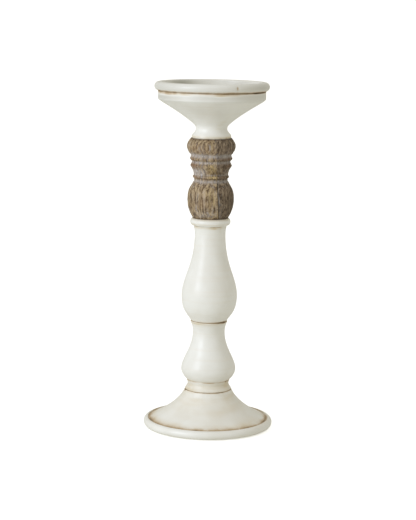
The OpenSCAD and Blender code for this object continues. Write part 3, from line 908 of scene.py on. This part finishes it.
def upperLine(s):
    height = collarZ - upperZ
    bulbR = widthOf("upper_baluster") / 2
    neckZ = height - s["neckDrop"]
    rise = neckZ - s["bulbZ"]
    ringZ = height - s["ringH"]
    outer = [(s["footR"] - 0.8, 0), (s["footR"], 0.5)]
    outer += stretch(
        (s["footR"], 0.5), (0.44 * (bulbR - s["footR"]), 0.26 * s["bulbZ"]),
        (bulbR, s["bulbZ"]), (0, -0.57 * s["bulbZ"]), 32,
    )
    outer += stretch((bulbR, s["bulbZ"]), (0, 0.3 * rise), (s["neckR"], neckZ), (0, -0.51 * rise), 60)
    outer += stretch(
        (s["neckR"], neckZ), (0, 0.3 * (ringZ - neckZ)),
        (s["neckR"] + 1.2, ringZ - 0.4), (-0.8, -0.4 * (ringZ - neckZ)), 16,
    )
    outer += bead(s["ringR"] - s["ringOut"], s["ringR"], ringZ, height)
    return fill(soften(outer, s["rounding"]), ringStep), hollow(height) + [outer[0]]


upper = turn(
    "upper_baluster_turned", *upperLine(upperSet), upperZ, upperSet["marks"], finishes["paint"],
    dict(whiteTurning, Seed=8),
)
dab(upper, upperZ, "wash", upperSet["washDabs"])
dab(upper, upperZ, "stain", upperSet["stainAndLightDabs"])
nick(upper, upperZ, upperSet["nicks"])
print("upper baluster turned")


cupSet = {
    "beadOut": 3.7, "bandH": 8.7, "beadH": 9.3, "lipW": 5.4, "dishDeep": 12, "dishRound": 1.8,
    "coneR": 22.2, "coneZ": 17.4, "waistR": 16.2, "waistZ": 9.8, "footR": 20.3, "footH": 3.6,
    "insertR": 6, "insertFrom": 1, "insertTo": 16, "dish": (51.5, 45), "floorRings": (45, 1, -3),
    "rounding": 0.5,
    "marks": {
        "wash": [(55.5, 48.3, 1.0, 0.85), (57.2, 49.3, 0.9, 0.44), (19.7, 0.0, 0.6, 0.50)],
        # stain under zero here is painted shade: on the band under the rim bead, under the cone and round the
        # rim
        "stain": [
            (55.3, 47.0, 1.3, 0.26), (20.2, 1.0, 1.9, 0.85), (55.3, 43.5, 5.0, -0.36),
            (36.0, 28.0, 12.0, -0.09), (50.5, 55.0, 4.0, -0.20), (58.5, 53.0, 4.0, -0.26),
        ],
    },
    "washDabs": [
        (-62, 48.1, 14, 0.9, -0.18), (-58, 46.9, 20, 1.1, 0.36), (-60, 45.8, 22, 1.1, 0.22),
        (-62, 49.0, 16, 0.8, 0.18), (-30, 48.1, 12, 0.9, -0.10), (9, 47.0, 11, 0.9, 0.24),
        (55, 48.1, 14, 0.8, 0.45), (75, 48.1, 10, 0.9, 0.40), (25.7, 53.6, 1.2, 2.2, 0.55),
        (27.5, 51.5, 2.0, 0.9, 0.18), (-10, 0.4, 4, 0.8, 0.30), (28, 1.2, 2.5, 1.2, 0.28),
        (12, 0.8, 1.4, 1.6, 0.24), (50, 1.0, 1.6, 1.8, 0.26), (-32, 0.6, 2.0, 1.2, 0.20),
        (40, 8.5, 0.8, 1.6, 0.20), (150, 48, 16, 0.9, 0.3),
    ],
    # dabs under zero are painted shade: the band under the rim bead, darker on the left, and round the rim
    # bead
    "stainAndLightDabs": [
        (-75, 46.2, 14, 1.6, 0.75), (-50, 46.4, 12, 1.6, 0.85), (-30, 46.6, 9, 1.4, 0.65),
        (-8, 46.6, 10, 1.0, 0.30), (9, 46.2, 8, 1.4, 0.85), (24, 46.4, 8, 1.1, 0.60),
        (-66, 42.4, 20, 4.5, -0.36), (-60, 53.5, 26, 4.5, -0.26), (62, 53.5, 22, 4.5, -0.36),
        (75, 43.0, 14, 5.0, -0.06), (34, 20, 4, 7, 0.20), (-2, 30, 6, 8, 0.12), (26, 12, 3, 4, 0.16),
        (58, 26, 6, 5, 0.10), (160, 46.4, 16, 1.5, 0.4), (-160, 46.4, 12, 1.3, 0.3),
    ],
    # painted shade on the dish's inner wall, darkest on the left
    "dishShadeDabs": [(-140, 53, 16, 6.0, -0.85), (140, 53, 15, 5.0, -0.16)],
    "nicks": [(25.7, 53.4, 1.1, 1.6, 0.7), (40, 8.5, 1.0, 1.5, 0.25), (-120, 53.0, 1.4, 1.2, 0.35)],
}


def cupLine(s):
    height = topZ - cupZ
    rimR = widthOf("candle_cup") / 2
    bandR = rimR - s["beadOut"]
    beadZ = height - s["beadH"]
    bandZ = beadZ - s["bandH"]
    wide, tall = bandR - 0.6 - s["coneR"], bandZ - s["coneZ"]
    footR = s["footR"]
    outer = [(footR - 0.6, 0), (footR, 0.6), (footR - 0.1, s["footH"] - 0.6), (footR - 0.4, s["footH"])]
    outer += stretch(
        (footR - 0.4, s["footH"]), (-1.5, 0.34 * (s["waistZ"] - s["footH"])),
        (s["waistR"], s["waistZ"]), (0, -0.48 * (s["waistZ"] - s["footH"])), 14,
    )
    outer += stretch(
        (s["waistR"], s["waistZ"]), (0, 0.42 * (s["coneZ"] - s["waistZ"])),
        (s["coneR"], s["coneZ"]),
        (-0.4 * (s["coneR"] - s["waistR"]), -0.26 * (s["coneZ"] - s["waistZ"])), 16,
    )
    outer += stretch(
        (s["coneR"], s["coneZ"]), (0.5 * wide, 0.58 * tall),
        (s["coneR"] + wide, bandZ), (-0.1 * wide, -0.16 * tall), 40,
    )
    outer += [(bandR, bandZ + 0.6), (bandR, beadZ)]
    outer += bead(bandR - 0.8, rimR, beadZ + 0.2, height)
    dishR = bandR - s["lipW"]
    floorZ = height - s["dishDeep"]
    quarter = [math.radians(a) for a in range(0, 91, 10)]
    cornerR = s["dishRound"]
    dish = [(dishR + cornerR * (1 - math.sin(a)), height - cornerR * (1 - math.cos(a))) for a in quarter]
    dish += [(dishR - cornerR * (1 - math.cos(a)), floorZ + cornerR * (1 - math.sin(a))) for a in quarter]
    outer += dish[:-1] + [(dishR - cornerR, floorZ)]
    floor = [(r, floorZ) for r in range(*s["floorRings"])] + [(0, floorZ)]
    inner = [
        (0, s["insertTo"]), (s["insertR"], s["insertTo"]), (s["insertR"], s["insertFrom"]),
        (inside["boreR"], s["insertFrom"]), (inside["boreR"], -inside["spigotH"]),
        (inside["spigotR"], -inside["spigotH"]), (inside["spigotR"], 0), (footR - 0.6, 0),
    ]
    return fill(soften(outer, s["rounding"]), ringStep) + floor, inner


cup = turn(
    "candle_cup_turned", *cupLine(cupSet), cupZ, cupSet["marks"], finishes["paint"],
    dict(whiteTurning, Sides=240, Seed=13),
)
dab(cup, cupZ, "wash", cupSet["washDabs"], cupSet["dish"])
dab(cup, cupZ, "stain", cupSet["stainAndLightDabs"], cupSet["dish"])
dab(cup, cupZ, "stain", cupSet["dishShadeDabs"])
nick(cup, cupZ, cupSet["nicks"])
print("candle cup turned")


collarSet = {
    "footR": 18.8, "ballR": 24.2, "ballH": 37.2, "grooveR": 17.5, "smallR": 18.9, "coveR": 18,
    "middleR": 21.5, "betweenR": 20, "upperR": 22, "underR": 21, "beadTopR": 21.1, "beadH": 16.6,
    "ringShares": (0.2, 0.3, 0.6, 0.74, 0.86), "rounding": 0.4,
    "glueOffset": 8.2, "glueLean": 3.2, "glueGroove": 0.28, "glueEdge": 0.3,
    "glueReach": {-1: 1.7, 1: 0.9}, "glueFaint": 0.3, "skinGive": 0.02,
    "marks": {
        "wash": [
            (17.7, 38.6, 1.7, 0.95), (18.0, 45.4, 0.9, 0.45), (18.3, 49.0, 3.0, 0.02),
            (20.0, 58.2, 1.4, 0.85), (21.2, 65.0, 2.1, 0.85), (18.6, 0.0, 1.5, -0.85),
            (21.0, 82.3, 1.5, -0.55), (22.0, 36.0, 2.0, 0.22), (18.4, 41.4, 0.7, -0.5),
        ],
        "stain": [
            (18.9, 43.0, 1.5, 0.85), (21.5, 54.4, 2.6, 0.80), (22.0, 61.6, 1.8, 0.85),
            (24.4, 72.0, 6.0, 0.16),
        ],
    },
    "washDabs": [
        (-70, 48.5, 9, 4.5, 0.68), (-42, 48.5, 7, 4.5, 0.56), (-24, 49.0, 4, 4.0, 0.20),
        (10, 49.0, 6, 3.2, -0.26), (62, 49.0, 5, 3.5, 0.25), (-60, 66.5, 9, 2.2, 0.45),
        (-20, 66.5, 8, 1.8, 0.20), (5, 8, 1.2, 7, 0.55), (16, 9, 1.1, 7, 0.40), (-8, 6, 1.3, 6, 0.35),
        (-28, 4, 8, 4, 0.35), (30, 9, 1.0, 8, 0.45), (-16, 20, 1.2, 9, 0.35), (-36, 22, 1.6, 6, 0.28),
        (-2, 71, 0.9, 6, 0.26), (-20, 73, 1.2, 5, 0.20), (9, 73, 0.9, 7, 0.30), (64, 18, 12, 15, -0.48),
        (45, 70, 7, 5, 0.15), (160, 48, 12, 4, 0.6), (120, 66, 12, 2, 0.4),
    ],
    # dabs under zero are painted gold glints down the front of the rings, ball and bead; dabs over zero add
    # rust at the rings' sides and on the ball
    "stainAndLightDabs": [
        (0, 54.4, 6, 2.6, -1.5), (4, 43.2, 5, 1.3, -1.8), (14, 43.2, 3, 1.2, -1.2),
        (8, 49.5, 4, 4.0, -0.55), (0, 61.6, 5, 1.6, -0.8), (-2, 24, 1.0, 12, -0.55),
        (8, 22, 1.0, 10, -0.45), (-10, 27, 1.2, 7, -0.35), (-70, 54.4, 6, 2.6, 0.4),
        (75, 54.4, 6, 2.6, 0.4), (0, 74, 1.2, 7, -0.5), (-24, 18, 6, 6, 0.20),
    ],
    "turning": {
        "Sides": 336, "Unevenness": 0.0003, "Ripple": 0.0, "Grain Depth": 0.00028,
        "Grain Width": 0.0016, "Seed": 21,
    },
}


def collarLine(s):
    height = cupZ - collarZ
    beadR = widthOf("collar_wide_block", "collar_narrow_block") / 2
    ballMid, ballEdgeR = 0.53 * s["ballH"], s["ballR"] - 5.6
    beadZ = height - s["beadH"]
    smallZ, coveZ, middleZ, betweenZ, upZ = (
        s["ballH"] + share * (beadZ - s["ballH"]) for share in s["ringShares"]
    )
    ballRise, coveRise, beadMid = s["ballH"] - ballMid, middleZ - coveZ, beadZ + 0.5 * s["beadH"]
    outer = [(s["footR"] - 0.8, 0), (s["footR"], 0.6)]
    outer += stretch(
        (s["footR"], 0.6), (0.1, 0.02 * s["ballH"]), (s["ballR"], ballMid), (0, -0.6 * ballMid), 40
    )
    outer += stretch(
        (s["ballR"], ballMid), (0, 0.66 * ballRise), (ballEdgeR, s["ballH"]), (1.1, -0.23 * ballRise), 40
    )
    outer += [(s["grooveR"], s["ballH"] + 1.4), (s["grooveR"], smallZ - 1.8)]
    outer += bead(s["grooveR"] + 0.3, s["smallR"], smallZ - 1.6, smallZ + 1.4, 12)
    outer += stretch(
        (s["coveR"], coveZ), (0, 0.1 * coveRise),
        (s["middleR"] - 0.5, middleZ - 1.4), (-2.4, -0.36 * coveRise), 16,
    )
    outer += bead(s["middleR"] - 0.4, s["middleR"], middleZ - 1, middleZ + 1, 8)
    outer += [(s["betweenR"], betweenZ - 0.6), (s["betweenR"], betweenZ + 0.4)]
    outer += bead(s["upperR"] - 0.6, s["upperR"], upZ - 1.4, upZ + 1, 8)
    outer += [(s["underR"], beadZ - 1.4), (s["underR"], beadZ - 0.4)]
    outer += stretch(
        (s["underR"] + 0.3, beadZ), (1.2, 0.02 * s["beadH"]), (beadR, beadMid), (0, -0.2 * s["beadH"]), 20
    )
    outer += stretch(
        (beadR, beadMid), (0, 0.23 * s["beadH"]),
        (s["beadTopR"] + 0.4, height - 0.3), (0.6, -0.04 * s["beadH"]), 20,
    )
    outer += [(s["beadTopR"], height)]
    return fill(soften(outer, s["rounding"]), woodRingStep), hollow(height) + [outer[0]]


def cutBlock(whole, name, side, s, finish):
    # keeps the side of the leaning glue plane toward -X (-1) or +X (1), with a groove along the glue line
    mesh = whole.data.copy()
    mesh.name = name
    lean = math.radians(s["glueLean"])
    across = Vector((math.cos(lean), 0, math.sin(lean)))
    at = Vector((s["glueOffset"], 0, collarZ + s["ballH"] / 2)) * mm
    ballTop = (collarZ + s["ballH"]) * mm
    shape = bmesh.new()
    shape.from_mesh(mesh)
    cut = bmesh.ops.bisect_plane(
        shape, geom=shape.verts[:] + shape.edges[:] + shape.faces[:], dist=1e-7, plane_co=at, plane_no=across,
        clear_outer=side < 0, clear_inner=side > 0,
    )
    cutEdges = [item for item in cut["geom_cut"] if isinstance(item, bmesh.types.BMEdge)]
    edges = [edge for edge in cutEdges if edge.is_valid and edge.is_boundary]
    bmesh.ops.triangle_fill(shape, edges=edges, use_beauty=True, use_dissolve=False)
    bmesh.ops.recalc_face_normals(shape, faces=shape.faces[:])
    glueLayer = shape.verts.layers.float.new("glue")
    giveLayer = shape.verts.layers.float.get("give")
    for vert in shape.verts:
        # glue over zero darkens the line and under zero limes it, more faintly above the ball
        away = abs((vert.co - at).dot(across)) / mm
        outerSkin = vert[giveLayer] > s["skinGive"]
        near = max(0.0, 1 - away / s["glueReach"][side]) * (1.0 if vert.co.z < ballTop else s["glueFaint"])
        vert[glueLayer] = -side * near if outerSkin else 0.0
        if outerSkin and away < s["glueEdge"]:
            flat = Vector((vert.co.x, vert.co.y, 0)).normalized()
            vert.co -= (flat - across * flat.dot(across)) * s["glueGroove"] * mm
    shape.to_mesh(mesh)
    shape.free()
    piece = bpy.data.objects.new(name, mesh)
    bpy.context.scene.collection.objects.link(piece)
    mesh.materials.clear()
    mesh.materials.append(finish)
    return piece


wholeCollar = turn(
    "wholeCollar", *collarLine(collarSet), collarZ, collarSet["marks"], finishes["wide"],
    collarSet["turning"],
)
dab(wholeCollar, collarZ, "wash", collarSet["washDabs"])
dab(wholeCollar, collarZ, "stain", collarSet["stainAndLightDabs"])
wideBlock = cutBlock(wholeCollar, "collar_wide_turned", -1, collarSet, finishes["wide"])
narrowBlock = cutBlock(wholeCollar, "collar_narrow_turned", 1, collarSet, finishes["narrow"])
bpy.data.objects.remove(wholeCollar)
print("collar turned and cut into its two blocks")


for piece, node, slotName in (
    (base, "base", "white_paint"),
    (lower, "lower_baluster", "white_paint"),
    (upper, "upper_baluster", "white_paint"),
    (cup, "candle_cup", "white_paint"),
    (wideBlock, "collar_wide_block", "washed_wood"),
    (narrowBlock, "collar_narrow_block", "darker_wood"),
):
    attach(piece, root)
    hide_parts(node)
    print(piece.name, len(piece.data.loops) - 2 * len(piece.data.polygons), "triangles")

# the felt and the hardware keep their own shapes
for node, finish in (
    ("base_felt", "felt"), ("tie_rod", "steel"), ("cup_insert", "steel"),
    ("rod_washer", "steel"), ("rod_nut", "steel"),
):
    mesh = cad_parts[node].data
    mesh.materials.clear()
    mesh.materials.append(finishes[finish])
